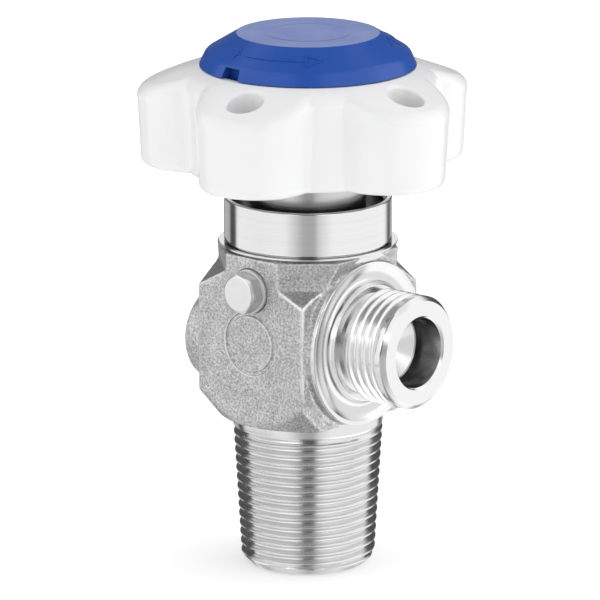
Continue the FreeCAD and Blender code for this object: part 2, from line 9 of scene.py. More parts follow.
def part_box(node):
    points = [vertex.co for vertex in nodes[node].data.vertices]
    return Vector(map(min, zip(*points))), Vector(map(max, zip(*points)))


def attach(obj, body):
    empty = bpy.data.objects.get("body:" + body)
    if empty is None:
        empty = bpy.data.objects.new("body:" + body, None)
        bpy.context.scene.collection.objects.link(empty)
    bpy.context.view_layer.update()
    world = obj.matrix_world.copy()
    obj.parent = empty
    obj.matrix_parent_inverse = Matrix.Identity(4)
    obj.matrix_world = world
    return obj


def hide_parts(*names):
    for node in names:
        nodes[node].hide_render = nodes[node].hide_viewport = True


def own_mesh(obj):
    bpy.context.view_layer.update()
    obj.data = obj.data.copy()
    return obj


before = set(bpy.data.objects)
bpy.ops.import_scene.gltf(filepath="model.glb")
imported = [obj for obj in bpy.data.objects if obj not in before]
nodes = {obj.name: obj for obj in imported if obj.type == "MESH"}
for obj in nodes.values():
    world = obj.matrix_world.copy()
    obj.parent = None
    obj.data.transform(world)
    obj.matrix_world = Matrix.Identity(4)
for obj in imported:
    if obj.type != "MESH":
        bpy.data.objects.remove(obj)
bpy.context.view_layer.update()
mm = 0.001
fullTurn = 2.0 * pi
print("stage: frame loaded,", len(nodes), "nodes")


# Helpers for shapes

def boxInMm(node):
    low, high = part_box(node)
    return low / mm, high / mm


def outline(bm, corners, closed):
    # Corners are (radius, height) or (radius, height, softness), in the XZ plane.
    verts = [bm.verts.new((corner[0], 0, corner[1])) for corner in corners]
    for first, second in zip(verts, verts[1:]):
        bm.edges.new((first, second))
    if closed:
        bm.edges.new((verts[-1], verts[0]))
    for vert, corner in zip(verts, corners):
        if len(corner) > 2:
            bmesh.ops.bevel(bm, geom=[vert], offset=corner[2], offset_type="OFFSET", affect="VERTICES",
                            segments=5, profile=0.5, material=-1)
    # Long straight runs get a point close to each end, so that their shading stays straight.
    for edge in list(bm.edges):
        length = edge.calc_length()
        if length > 0.8:
            far = edge.verts[1]
            middle = bmesh.utils.edge_split(edge, edge.verts[0], 0.1 / length)[1]
            rest = next(part for part in middle.link_edges if far in part.verts)
            bmesh.utils.edge_split(rest, far, 0.1 / rest.calc_length())


def outward(bm):
    bmesh.ops.recalc_face_normals(bm, faces=bm.faces)
    return bm


def turned(corners, steps=192):
    # A piece turned about Z. An outline that starts on the axis is left open there.
    bm = bmesh.new()
    outline(bm, corners, corners[0][0] > 0)
    bmesh.ops.spin(bm, geom=bm.verts[:] + bm.edges[:], cent=(0, 0, 0), axis=(0, 0, 1), dvec=(0, 0, 0),
                   angle=fullTurn, steps=steps, use_merge=True)
    bmesh.ops.remove_doubles(bm, verts=bm.verts, dist=0.002)
    return outward(bm)


def placed(bm, angle=0.0, axis="Z", shift=(0, 0, 0)):
    # Turns a piece about an axis through the origin, then shifts it.
    move = Matrix.Translation(shift) @ Matrix.Rotation(angle, 4, axis)
    bmesh.ops.transform(bm, matrix=move, verts=bm.verts)
    return bm


def layAlongX(bm, height):
    return placed(bm, pi / 2, "Y", (0, 0, height))


def polar(turn, radius, level):
    return Vector((radius * cos(turn), radius * sin(turn), level))


def vertsOf(geom):
    return [part for part in geom if isinstance(part, bmesh.types.BMVert)]


def prism(spots, push):
    # A straight bar: one face through the spots, pushed along a vector.
    bm = bmesh.new()
    face = bm.faces.new([bm.verts.new(spot) for spot in spots])
    pushed = bmesh.ops.extrude_face_region(bm, geom=[face])["geom"]
    bmesh.ops.translate(bm, vec=push, verts=vertsOf(pushed))
    return outward(bm)


def pulled(bm, edges):
    # Extrudes an open ring of edges, and gives the new ring's points and edges.
    made = bmesh.ops.extrude_edge_only(bm, edges=edges)["geom"]
    rim = [part for part in made if isinstance(part, bmesh.types.BMEdge) and part.is_boundary]
    return vertsOf(made), rim


def setRadius(vert, radius):
    now = hypot(vert.co.x, vert.co.y)
    vert.co.x *= radius / now
    vert.co.y *= radius / now


def roundRing(verts, radius, level):
    for vert in verts:
        setRadius(vert, radius)
        vert.co.z = level


def asObject(bm, name):
    mesh = bpy.data.meshes.new(name)
    bm.to_mesh(mesh)
    bm.free()
    piece = bpy.data.objects.new(name, mesh)
    bpy.context.scene.collection.objects.link(piece)
    return piece


def withModifier(bm, kind, **settings):
    # Runs one modifier on a bmesh and gives the result back as a bmesh.
    holder = asObject(bm, "holder")
    modifier = holder.modifiers.new(kind.lower(), kind)
    for setting, value in settings.items():
        setattr(modifier, setting, value)
    evaluated = holder.evaluated_get(bpy.context.evaluated_depsgraph_get())
    result = bmesh.new()
    result.from_mesh(evaluated.to_mesh())
    bpy.data.objects.remove(holder)
    return result


def carved(bm, tool, operation="DIFFERENCE"):
    cutter = asObject(tool, "cutter")
    result = withModifier(bm, "BOOLEAN", object=cutter, operation=operation, solver="EXACT")
    bpy.data.objects.remove(cutter)
    return result


def joined(bm, other):
    # Adds the faces of a second bmesh to the first one.
    mesh = bpy.data.meshes.new("joined")
    other.to_mesh(mesh)
    other.free()
    bm.from_mesh(mesh)
    bpy.data.meshes.remove(mesh)
    return bm


def smoothstep(low, high, value):
    share = min(max((value - low) / (high - low), 0.0), 1.0)
    return share * share * (3.0 - 2.0 * share)


def finishPiece(bm, name, body, material, replaced, sharpAngle):
    bmesh.ops.scale(bm, vec=(mm, mm, mm), verts=bm.verts)
    for face in bm.faces:
        face.smooth = True
    piece = asObject(bm, name)
    piece.data.set_sharp_from_angle(angle=radians(sharpAngle))
    piece.data.materials.append(material)
    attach(piece, body)
    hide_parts(*replaced)
    print("piece:", name, len(piece.data.polygons), "faces")
    return piece


# Helpers for materials

def setInputs(tree, node, **inputs):
    # A label is a socket's name with _ for each space, or i and the socket's number.
    for label, value in inputs.items():
        numbered = label[0] == "i" and label[1:].isdigit()
        socket = node.inputs[int(label[1:]) if numbered else label.replace("_", " ")]
        if isinstance(value, bpy.types.NodeSocket):
            tree.links.new(value, socket)
        else:
            socket.default_value = value
    return node


def addNode(tree, kind, settings=None, **inputs):
    node = tree.nodes.new("ShaderNode" + kind)
    for setting, value in (settings or {}).items():
        setattr(node, setting, value)
    return setInputs(tree, node, **inputs)


def startGroup(name, amounts, outputs):
    # A node group with a Vector, the named amounts at their usual values, and numbers out.
    tree = bpy.data.node_groups.new(name, "ShaderNodeTree")
    tree.interface.new_socket("Vector", in_out="INPUT", socket_type="NodeSocketVector")
    for label, value in amounts.items():
        socket = tree.interface.new_socket(label, in_out="INPUT", socket_type="NodeSocketFloat")
        socket.default_value = value
    for label in outputs:
        tree.interface.new_socket(label, in_out="OUTPUT", socket_type="NodeSocketFloat")
    return tree, tree.nodes.new("NodeGroupInput").outputs, tree.nodes.new("NodeGroupOutput")


def sums(tree, operation, *values):
    inputs = {f"i{k}": value for k, value in enumerate(values)}
    return addNode(tree, "Math", {"operation": operation}, **inputs).outputs[0]


def rangeOf(tree, value, fromLow, fromHigh, toLow=0.0, toHigh=1.0):
    return addNode(tree, "MapRange", {"clamp": True}, Value=value, From_Min=fromLow,
                   From_Max=fromHigh, To_Min=toLow, To_Max=toHigh).outputs[0]


def noiseOf(tree, vector, scale, detail, roughness=0.5):
    return addNode(tree, "TexNoise", Vector=vector, Scale=scale, Detail=detail,
                   Roughness=roughness).outputs[0]


def lineNoise(tree, place, scale, detail, roughness=0.5):
    return addNode(tree, "TexNoise", {"noise_dimensions": "1D"}, W=place, Scale=scale,
                   Detail=detail, Roughness=roughness).outputs[0]


def fromAxis(tree, spot):
    # The distance from the Z axis, and the place along it.
    across, deep, along = addNode(tree, "SeparateXYZ", Vector=spot).outputs
    flat = addNode(tree, "CombineXYZ", X=across, Y=deep).outputs[0]
    return addNode(tree, "VectorMath", {"operation": "LENGTH"}, i0=flat).outputs["Value"], along


def product(tree, first, *others):
    for other in others:
        first = sums(tree, "MULTIPLY", first, other)
    return first


def blendOf(tree, share, first, second):
    return addNode(tree, "Mix", {"data_type": "RGBA"}, i0=share, i6=first, i7=second).outputs[2]


def buildFineGrain():
    # Blasted skin: small pits and lighter flecks, with a faint cloud over several millimetres.
    tree, given, out = startGroup("fineGrain", {"Grains per mm": 2.5, "Cloud": 0.3}, ("Value", "Height"))
    grains = given["Grains per mm"]
    fine = noiseOf(tree, given["Vector"], grains, 2.0, 0.55)
    pits = noiseOf(tree, given["Vector"], product(tree, grains, 1.7), 1.0)
    cloud = noiseOf(tree, given["Vector"], product(tree, grains, 0.12), 3.0, 0.6)
    both = rangeOf(tree, sums(tree, "ADD", fine, product(tree, pits, 0.6)), 0.58, 1.02)
    clouded = product(tree, sums(tree, "SUBTRACT", cloud, 0.5), given["Cloud"])
    setInputs(tree, out, Value=sums(tree, "ADD", both, clouded), Height=both)
    return tree


def buildTurningLines():
    # Fine tool marks round the Z axis: along a barrel they follow height, on an end face the radius.
    tree, given, out = startGroup("turningLines", {"Lines per mm": 5.0}, ("Value", "Height"))
    radius, height = fromAxis(tree, given["Vector"])
    along = sums(tree, "ADD", height, radius)
    lines = lineNoise(tree, along, given["Lines per mm"], 2.0, 0.6)
    broad = lineNoise(tree, along, product(tree, given["Lines per mm"], 0.11), 1.0)
    mixed = sums(tree, "ADD", product(tree, lines, 0.7), product(tree, broad, 0.3))
    setInputs(tree, out, Value=mixed, Height=lines)
    return tree


def buildMouldSkin():
    # Moulded plastic: a very slight waviness and a finer skin.
    tree, given, out = startGroup("mouldSkin", {"Waves per mm": 0.08}, ("Value", "Height"))
    waves = noiseOf(tree, given["Vector"], given["Waves per mm"], 1.0)
    skin = noiseOf(tree, given["Vector"], 3.0, 2.0)
    setInputs(tree, out, Value=waves, Height=sums(tree, "ADD", waves, product(tree, skin, 0.02)))
    return tree


def buildHandledGloss():
    # Roughness that wanders where fingers and cleaning have touched the surface.
    tree, given, out = startGroup("handledGloss", {"Low": 0.2, "High": 0.3}, ("Roughness",))
    patches = noiseOf(tree, given["Vector"], 0.15, 1.0)
    spread = addNode(tree, "MapRange", {"interpolation_type": "SMOOTHSTEP"}, Value=patches,
                     From_Min=0.15, From_Max=0.85).outputs[0]
    span = sums(tree, "SUBTRACT", given["High"], given["Low"])
    setInputs(tree, out, Roughness=sums(tree, "MULTIPLY_ADD", spread, span, given["Low"]))
    return tree


effects = {"fineGrain": buildFineGrain(), "turningLines": buildTurningLines(),
           "mouldSkin": buildMouldSkin(), "handledGloss": buildHandledGloss()}
print("stage: effect groups built")


def startMaterial(name, place=(0, 0, 0), turn=(0, 0, 0)):
    # Gives the node tree, its main shader and the Object coordinates in millimetres.
    # place is in metres: the point that becomes the pattern's origin, and turn lays the pattern's axis.
    material = bpy.data.materials.new(name)
    material.use_nodes = True
    tree = material.node_tree
    shader = tree.nodes["Principled BSDF"]
    spot = addNode(tree, "TexCoord").outputs["Object"]
    moved = addNode(tree, "VectorMath", {"operation": "SUBTRACT"}, i0=spot, i1=place).outputs[0]
    scaled = addNode(tree, "Mapping", Vector=moved, Rotation=turn,
                     Scale=(1 / mm, 1 / mm, 1 / mm)).outputs[0]
    return material, tree, shader, scaled


def addEffect(tree, name, spot, **inputs):
    return addNode(tree, "Group", {"node_tree": effects[name]}, Vector=spot, **inputs).outputs


def addBump(tree, shader, height, strength, distance):
    bump = addNode(tree, "Bump", Height=height, Strength=strength, Distance=distance * mm)
    setInputs(tree, shader, Normal=bump.outputs[0])


def addGloss(tree, shader, spot, rough):
    gloss = addEffect(tree, "handledGloss", spot, Low=rough[0], High=rough[1])
    setInputs(tree, shader, Roughness=gloss["Roughness"])


def steelBlasted():
    material, tree, shader, spot = startMaterial("steelBlasted")
    grain = addEffect(tree, "fineGrain", spot, Grains_per_mm=2.4, Cloud=0.7)
    colour = blendOf(tree, grain["Value"], (0.36, 0.36, 0.365, 1), (0.76, 0.76, 0.76, 1))
    # Painted highlight: the edges that stand out are painted almost white.
    edgeHighlight = addNode(tree, "Attribute", {"attribute_name": "edgeHighlight"}).outputs["Fac"]
    colour = blendOf(tree, edgeHighlight, colour, (0.97, 0.97, 0.97, 1))
    rough = rangeOf(tree, grain["Value"], 0.0, 1.0, 0.52, 0.4)
    setInputs(tree, shader, Base_Color=colour, Roughness=rough, Metallic=1.0)
    addBump(tree, shader, grain["Height"], 0.8, 0.07)
    return material


def zoneOf(tree, spot, near, far, low, high):
    # One between two distances from the axis and two places along it, nought elsewhere, in millimetres.
    radius, place = fromAxis(tree, spot)
    return product(tree, rangeOf(tree, radius, near - 0.1, near), rangeOf(tree, radius, far + 0.1, far),
                   rangeOf(tree, place, low - 0.1, low), rangeOf(tree, place, high + 0.1, high))


def steelTurned(name, place=(0, 0, 0), turn=(0, 0, 0), tone=0.74, rough=(0.16, 0.3), lines=5.0, depth=0.25,
                zones=()):
    # zones are (near, far, low, high, tone): stretches of the surface painted with a set tone in place of
    # the turned one; some of them are painted shade.
    material, tree, shader, spot = startMaterial(name, place, turn)
    marks = addEffect(tree, "turningLines", spot, Lines_per_mm=lines)
    colour = blendOf(tree, marks["Value"], (tone * 0.86, tone * 0.86, tone * 0.87, 1),
                     (tone * 1.1, tone * 1.1, tone * 1.1, 1))
    for near, far, low, high, zoneTone in zones:
        colour = blendOf(tree, zoneOf(tree, spot, near, far, low, high), colour, (zoneTone, zoneTone, zoneTone, 1))
    addGloss(tree, shader, spot, rough)
    setInputs(tree, shader, Base_Color=colour, Metallic=1.0)
    addBump(tree, shader, marks["Height"], depth, 0.02)
    return material


def plasticMoulded(name, colour, shade, rough, specular=0.5, waves=0.08, depth=0.5):
    material, tree, shader, spot = startMaterial(name)
    skin = addEffect(tree, "mouldSkin", spot, Waves_per_mm=waves)
    mixed = blendOf(tree, rangeOf(tree, skin["Value"], 0.3, 0.7), shade, colour)
    addGloss(tree, shader, spot, rough)
    setInputs(tree, shader, Base_Color=mixed, Specular_IOR_Level=specular)
    addBump(tree, shader, skin["Height"], depth, 0.15)
    return material


def plainGrained(name, dark, light, rough, metallic, grains=4.0, depth=0.2):
    # Inner metal, rubber and plastic: grain on colour and surface.
    material, tree, shader, spot = startMaterial(name)
    grain = addEffect(tree, "fineGrain", spot, Grains_per_mm=grains, Cloud=0.3)
    addGloss(tree, shader, spot, rough)
    setInputs(tree, shader, Base_Color=blendOf(tree, grain["Value"], dark, light), Metallic=metallic)
    addBump(tree, shader, grain["Height"], depth, 0.02)
    return material


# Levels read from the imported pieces, in millimetres
wheelFoot = boxInMm("handwheel")[0].z
nutLow, nutHigh = boxInMm("gland_nut")
stemLength = 29.7
blockHeight = 33.1
outletLevel = stemLength + 15.9
bossLevel = stemLength + 11.9
padLevel = stemLength + 16.35
plugLevel = stemLength + 26.7
threadPitch = 25.4 / 14

blasted = steelBlasted()
stemSteel = steelTurned("steelStem", tone=0.76, rough=(0.14, 0.24))
# Painted shade: the bore's wall and floor are painted darker. The dish is given a darker tone, and the end
# face a plain tone.
outletSteel = steelTurned("steelOutlet", (0, 0, outletLevel * mm), (0, -pi / 2, 0), 0.82, (0.14, 0.26),
                          zones=((6.5, 6.85, 21.0, 27.3, 0.38), (0.0, 6.4, 19.0, 21.1, 0.6),
                                 (11.4, 15.3, 14.0, 15.1, 0.67), (6.9, 10.3, 27.6, 28.2, 0.84)))
# Painted shade: the wall and floor inside the collar's recess are painted dark.
collarSteel = steelTurned("steelCollar", tone=0.8, rough=(0.12, 0.15), lines=7.0, depth=0.04,
                          zones=((0.0, 14.4, 64.0, 72.5, 0.35),))
barrelSteel = steelTurned("steelBarrel", tone=0.62, rough=(0.18, 0.26), lines=4.0, depth=0.5)
plugSteel = steelTurned("steelPlug", (0, 0, plugLevel * mm), (pi / 2, 0, 0), 0.86, (0.28, 0.36),
                        zones=((3.3, 4.3, -20.0, -16.5, 0.66),))
whitePlastic = plasticMoulded("plasticWhite", (0.83, 0.83, 0.836, 1), (0.806, 0.806, 0.812, 1), (0.18, 0.26))
bluePlastic = plasticMoulded("plasticBlue", (0.019, 0.082, 0.385, 1), (0.017, 0.076, 0.36, 1), (0.16, 0.24),
                             0.3)
print("stage: materials built")


# Forged block

block = {
    "halfWide": 13.1, "halfDeep": 17.0, "flareHeight": 6.8, "flareHalfWide": 15.7,
    "outletCorner": 0.5, "bossCorner": 0.35,
    "facetTurn": 48.0, "corners": ((48, 16.5, 4.2, 8.8), (-48, 17.2, 5.3, 8.0), (132, 16.5, 4.6, 8.0),
                                   (228, 16.7, 3.4, 7.2)),
    "coneRadius": 17.0, "coneSlope": 4.5 / 5.6, "coneHeight": 44.8,
    "bossRadius": 9.3, "bossFar": 23.6, "bossRound": 0.8,
    "flangeRadius": 15.8, "flangeOffset": 0.3, "flangeRoot": 5.0, "flangeX": 14.8,
    "clearRadius": 15.45, "clearFrom": 13.6, "clearTo": 22.0,
    "voxel": 0.3, "softPasses": 2, "wave": 0.05, "waveLength": 7.0,
    # Where the painted edge highlight shows: heights over the stem, and how far a point must stand out for
    # it
    "highlightLow": (6.0, 10.0), "highlightTop": (blockHeight - 1.0, blockHeight - 0.6),
    "padInner": 5.5, "padOuter": 6.1, "padDepth": 0.45,
    "spotRadius": 4.35, "spotDepth": 0.4, "edgeWidth": 0.25, "highlightFrom": 0.035, "highlightTo": 0.11,
}


def forgedBlock():
    b = block
    top = stemLength + blockHeight
    flareFoot = top - b["flareHeight"]
    wide = b["halfWide"]
    shape = [(-wide, stemLength), (wide, stemLength), (wide, flareFoot), (b["flareHalfWide"], top),
             (-b["flareHalfWide"], top), (-wide, flareFoot)]
    bm = prism([(x, -b["halfDeep"], z) for x, z in shape], (0, 2 * b["halfDeep"], 0))
    for side, soft in ((1, b["outletCorner"]), (-1, b["bossCorner"])):
        upright = [edge for edge in bm.edges
                   if all(side * v.co.x > wide - 0.01 for v in edge.verts)
                   and abs(edge.verts[0].co.y - edge.verts[1].co.y) < 0.01
                   and abs(edge.verts[0].co.z - edge.verts[1].co.z) > 1.0]
        bmesh.ops.bevel(bm, geom=upright, offset=soft, affect="EDGES", segments=6, profile=0.5, material=-1)
    flange = turned([(0, b["flangeRoot"]), (b["flangeRadius"], b["flangeRoot"]),
                     (b["flangeRadius"], b["flangeX"]), (0, b["flangeX"])], 192)
    layAlongX(flange, outletLevel - b["flangeOffset"])
    bm = carved(bm, placed(flange, shift=(0, -b["flangeOffset"], 0)), "UNION")
    for corner in b["corners"]:
        bm = carved(bm, cornerWedge(corner, top))
    coneTop = stemLength + b["coneHeight"]
    cone = turned([(0, stemLength), (b["coneRadius"], stemLength),
                   (b["coneRadius"] + b["coneSlope"] * b["coneHeight"], coneTop), (0, coneTop)], 144)
    bm = carved(bm, cone, "INTERSECT")
    boss = turned([(0, 0), (b["bossRadius"], 0), (b["bossRadius"], b["bossFar"], b["bossRound"]),
                   (0, b["bossFar"])], 96)
    bm = carved(bm, placed(boss, -pi / 2, "Y", (0, 0, bossLevel)), "UNION")
    clear = turned([(0, b["clearFrom"]), (b["clearRadius"], b["clearFrom"]),
                    (b["clearRadius"], b["clearTo"]), (0, b["clearTo"])], 192)
    bm = carved(bm, layAlongX(clear, outletLevel))
    bm = withModifier(bm, "REMESH", mode="VOXEL", voxel_size=b["voxel"])
    for _ in range(b["softPasses"]):
        bmesh.ops.smooth_vert(bm, verts=bm.verts, factor=0.5, use_axis_x=True, use_axis_y=True,
                              use_axis_z=True)
    roughen(bm)
    sinkRings(bm)
    markEdgeHighlight(bm)
    return bm


def markEdgeHighlight(bm):
    # Stores how far each point stands out over its neighbours, for the painted highlight along the edges.
    bm.normal_update()
    layer = bm.verts.layers.float.new("edgeHighlight")
    for vert in bm.verts:
        around = [edge.other_vert(vert).co for edge in vert.link_edges]
        middle = sum(around, Vector()) / len(around)
        span = sum((spot - vert.co).length for spot in around) / len(around)
        proud = (vert.co - middle).dot(vert.normal) / max(span, 0.05)
        height = vert.co.z - stemLength
        shown = smoothstep(*block["highlightLow"], height) * (1.0 - 0.7 * smoothstep(*block["highlightTop"], height))
        vert[layer] = shown * smoothstep(block["highlightFrom"], block["highlightTo"], proud)


def cornerWedge(corner, top):
    # The wedge that leaves one sloping corner facet and the upright neck above it.
    turn, neckReach, neckHeight, cornerDrop = corner
    lean = radians(block["facetTurn"])
    reach = block["halfWide"] * cos(lean) + block["halfDeep"] * sin(lean)
    neckBase = top - neckHeight
    slope = (cornerDrop - neckHeight) / (reach - neckReach)
    far = reach + 8.0
    shape = [(neckReach, neckBase), (far, neckBase - slope * (far - neckReach)),
             (far, top + 1.0), (neckReach, top + 1.0)]
    return placed(prism([(x, -far, z) for x, z in shape], (0, 2 * far, 0)), radians(turn))


def roughen(bm):
    # The slight waviness of a forged skin.
    bm.normal_update()
    for vert in bm.verts:
        spot = vert.co / block["waveLength"]
        vert.co += vert.normal * block["wave"] * (noise.noise(spot) + 0.5 * noise.noise(spot * 2.7))


def sinkRings(bm):
    # The ring round the pad and the flat spot under the plug's washer, both on the -Y face.
    face = -block["halfDeep"]

    def nearRing(vert, level, radius, width):
        if vert.co.y > face + 0.6:
            return False
        return abs(hypot(vert.co.x, vert.co.z - level) - radius) < width

    padRadius = (block["padInner"] + block["padOuter"]) / 2
    close = [edge for edge in bm.edges
             if all(nearRing(v, padLevel, padRadius, 0.9) or nearRing(v, plugLevel, block["spotRadius"], 0.9)
                    for v in edge.verts)]
    bmesh.ops.subdivide_edges(bm, edges=close, cuts=2, use_grid_fill=True)
    edge = block["edgeWidth"]
    for vert in bm.verts:
        if vert.co.y > face + 0.6:
            continue
        padSpan = hypot(vert.co.x, vert.co.z - padLevel)
        groove = smoothstep(block["padInner"] - edge, block["padInner"], padSpan) \
            - smoothstep(block["padOuter"], block["padOuter"] + edge, padSpan)
        spotSpan = hypot(vert.co.x, vert.co.z - plugLevel)
        sunk = 1.0 - smoothstep(block["spotRadius"] - edge / 2, block["spotRadius"] + edge / 2, spotSpan)
        vert.co.y = vert.co.y + groove * block["padDepth"]
        vert.co.y = vert.co.y * (1 - sunk) + (face + block["spotDepth"]) * sunk


finishPiece(forgedBlock(), "forgedBlock", "housing", blasted, ("valve_body",), 60)


# Threads

def threadedBar(profile, length, steps):
    # A right-hand thread along Z: the crest line profile repeats every pitch and is spun once with a rise.
    bm = bmesh.new()
    count = int(length / threadPitch) + 3
    verts = [bm.verts.new((radius, 0, (turn - 1.5) * threadPitch + place))
             for turn in range(count) for place, radius in profile]
    for first, second in zip(verts, verts[1:]):
        bm.edges.new((first, second))
    bmesh.ops.spin(bm, geom=bm.verts[:] + bm.edges[:], cent=(0, 0, 0), axis=(0, 0, 1),
                   dvec=(0, 0, threadPitch / steps), angle=fullTurn, steps=steps)
    bmesh.ops.remove_doubles(bm, verts=bm.verts, dist=0.004)
    for level, way in ((0, -1), (length, 1)):
        bmesh.ops.bisect_plane(bm, geom=bm.verts[:] + bm.edges[:] + bm.faces[:], plane_co=(0, 0, level),
                               plane_no=(0, 0, way), clear_outer=True)
    return bm


def threadProfile(crest, depth, flat):
    # One pitch of the thread from (place along the pitch, radius), with a rounded root.
    half = flat / 2
    root = threadPitch / 2
    flank = depth * tan(radians(27.5))
    low = half + flank
    return [(-half, crest), (half, crest), (half + 0.06, crest - 0.05), (low - 0.12, crest - depth * 0.80),
            (low, crest - depth * 0.95), (root, crest - depth), (threadPitch - low, crest - depth * 0.95),
            (threadPitch - low + 0.12, crest - depth * 0.80), (threadPitch - half - 0.06, crest - 0.05)]


def openEdges(bm, level):
    return [edge for edge in bm.edges
            if edge.is_boundary and all(abs(v.co.z - level) < 0.001 for v in edge.verts)]


def stepIn(bm, edges, radius, level):
    # Carries an open ring on to a new radius and level.
    ring, edges = pulled(bm, edges)
    roundRing(ring, radius, level)
    return edges


stem = {
    "footRadius": 12.7, "taper": 0.06, "depth": 1.12, "flat": 0.3, "fadeFrom": 26.0, "fadeTo": 28.0,
    "startFrom": 0.9, "startTo": 2.2,
    "length": 30.3, "chamferRadius": 11.0, "chamferLength": 1.7, "bore": 4.0, "boreEnd": 26.0, "steps": 160,
}


def inletStem():
    bm = threadedBar(threadProfile(stem["footRadius"], stem["depth"], stem["flat"]), stem["length"],
                     stem["steps"])
    chamferTop = stem["footRadius"] + stem["taper"] * stem["chamferLength"]
    for vert in bm.verts:
        radius = hypot(vert.co.x, vert.co.y)
        depth = (stem["footRadius"] - radius) * (1 - smoothstep(stem["fadeFrom"], stem["fadeTo"], vert.co.z))
        depth *= smoothstep(stem["startFrom"], stem["startTo"], vert.co.z)
        wanted = stem["footRadius"] + stem["taper"] * min(vert.co.z, stem["fadeTo"]) - depth
        chamfer = (chamferTop - stem["chamferRadius"]) * vert.co.z / stem["chamferLength"]
        setRadius(vert, min(wanted, stem["chamferRadius"] + chamfer))
    ring = stepIn(bm, openEdges(bm, 0.0), stem["bore"] + 0.4, 0.0)
    ring = stepIn(bm, ring, stem["bore"], 0.4)
    ring = stepIn(bm, ring, stem["bore"], stem["boreEnd"])
    bmesh.ops.edgeloop_fill(bm, edges=ring)
    bmesh.ops.edgeloop_fill(bm, edges=openEdges(bm, stem["length"]))
    return outward(bm)


finishPiece(inletStem(), "inletStem", "housing", stemSteel, ("valve_body",), 30)


# Outlet

outlet = {
    "rimRadius": 15.74, "rimOffset": 0.3, "rimRoot": 6.0, "rimX": 15.2, "rimRound": 0.3,
    "dishRimRadius": 15.4, "stepRadius": 11.2, "stepX": 16.0,
    "dish": ((14.8, 14.82), (14.2, 14.56), (13.6, 14.38), (13.0, 14.3), (12.5, 14.32), (12.1, 14.45),
             (11.75, 14.7), (11.5, 15.05), (11.3, 15.5)),
    "threadRadius": 10.9, "startX": 14.96, "reliefEnd": 2.7, "plainFrom": 10.2, "depth": 1.1, "flat": 0.34,
    "endX": 27.8, "endChamfer": 0.9, "bore": 6.75, "boreDepth": 6.9, "innerBore": 2.8, "innerDepth": 10.5,
    "floorFall": 1.1, "steps": 160,
}


def outletFlange():
    # The machined face: the outer rim follows the forging, the dish and shoulder the outlet's own axis.
    o = outlet
    bm = turned([
        (0, o["rimRoot"]), (o["rimRadius"], o["rimRoot"]), (o["rimRadius"], o["rimX"], o["rimRound"]),
        (o["dishRimRadius"], o["rimX"], 0.1), *o["dish"], (o["stepRadius"], o["stepX"], 0.12),
        (o["threadRadius"] - o["depth"], o["stepX"] + 0.1),
        (o["threadRadius"] - o["depth"], o["stepX"] + 0.5), (0, o["stepX"] + 0.5)], 256)
    for vert in bm.verts:
        if hypot(vert.co.x, vert.co.y) > (o["rimRadius"] + o["dishRimRadius"]) / 2:
            vert.co.x += o["rimOffset"]
            vert.co.y -= o["rimOffset"]
    return layAlongX(bm, outletLevel)


def outletBarrel():
    o = outlet
    length = o["endX"] - o["startX"]
    bm = threadedBar(threadProfile(o["threadRadius"], o["depth"], o["flat"]), length, o["steps"])
    for vert in bm.verts:
        radius = hypot(vert.co.x, vert.co.y)
        shown = smoothstep(o["reliefEnd"], o["reliefEnd"] + 0.4, vert.co.z)
        depth = o["depth"] + (o["threadRadius"] - radius - o["depth"]) * shown
        depth *= 1 - smoothstep(o["plainFrom"], o["plainFrom"] + 0.6, vert.co.z)
        chamfer = o["threadRadius"] + length - vert.co.z - o["endChamfer"]
        setRadius(vert, min(o["threadRadius"] - depth, chamfer))
    ring = stepIn(bm, openEdges(bm, length), o["bore"] + 0.4, length)
    floor = length - o["boreDepth"]
    for radius, level in ((o["bore"], length - 0.4), (o["bore"], floor + 0.3), (o["bore"] - 0.3, floor),
                          (o["innerBore"] + 0.15, floor - o["floorFall"]),
                          (o["innerBore"], floor - o["floorFall"] - 0.15),
                          (o["innerBore"], length - o["innerDepth"])):
        ring = stepIn(bm, ring, radius, level)
    bmesh.ops.edgeloop_fill(bm, edges=ring)
    bmesh.ops.edgeloop_fill(bm, edges=openEdges(bm, 0.0))
    return layAlongX(placed(outward(bm), shift=(0, 0, o["startX"])), outletLevel)


finishPiece(outletFlange(), "outletFlange", "housing", outletSteel, ("valve_body",), 30)
finishPiece(outletBarrel(), "outletBarrel", "housing", outletSteel, ("valve_body",), 30)


# Turned neck and gland barrel

neck = {
    "ledgeRadius": 17.1, "ledgeLow": 0.34, "ledgeHigh": 0.7, "underRadius": 15.9, "grooveRadius": 15.2,
    "collarLow": 0.9, "collarHigh": 9.3, "collarRadius": 16.0, "wall": 1.8, "recess": 5.6, "lip": 0.9,
}


def turnedNeck():
    n = neck
    foot = stemLength + blockHeight
    ledgeTop = foot + n["ledgeHigh"]
    collarFoot = foot + n["collarLow"]
    collarTop = foot + n["collarHigh"]
    inner = n["collarRadius"] - n["wall"]
    return turned([
        (0, foot - 1.0), (n["underRadius"], foot - 1.0), (n["underRadius"], foot + n["ledgeLow"]),
        (n["ledgeRadius"], foot + n["ledgeLow"], 0.08), (n["ledgeRadius"], ledgeTop, 0.1),
        (n["grooveRadius"], ledgeTop, 0.05), (n["grooveRadius"], collarFoot, 0.05),
        (n["collarRadius"], collarFoot, 0.12),
        (n["collarRadius"], collarTop, 0.3), (inner + n["lip"], collarTop, 0.2),
        (inner, collarTop - n["lip"], 0.2), (inner, collarTop - n["recess"], 0.3),
        (0, collarTop - n["recess"])], 256)


gland = {
    "bore": 5.05, "footRadius": 12.98, "stepLevel": 67.0, "radius": 11.0, "topRadius": 10.2,
    "topChamfer": 0.8,
}


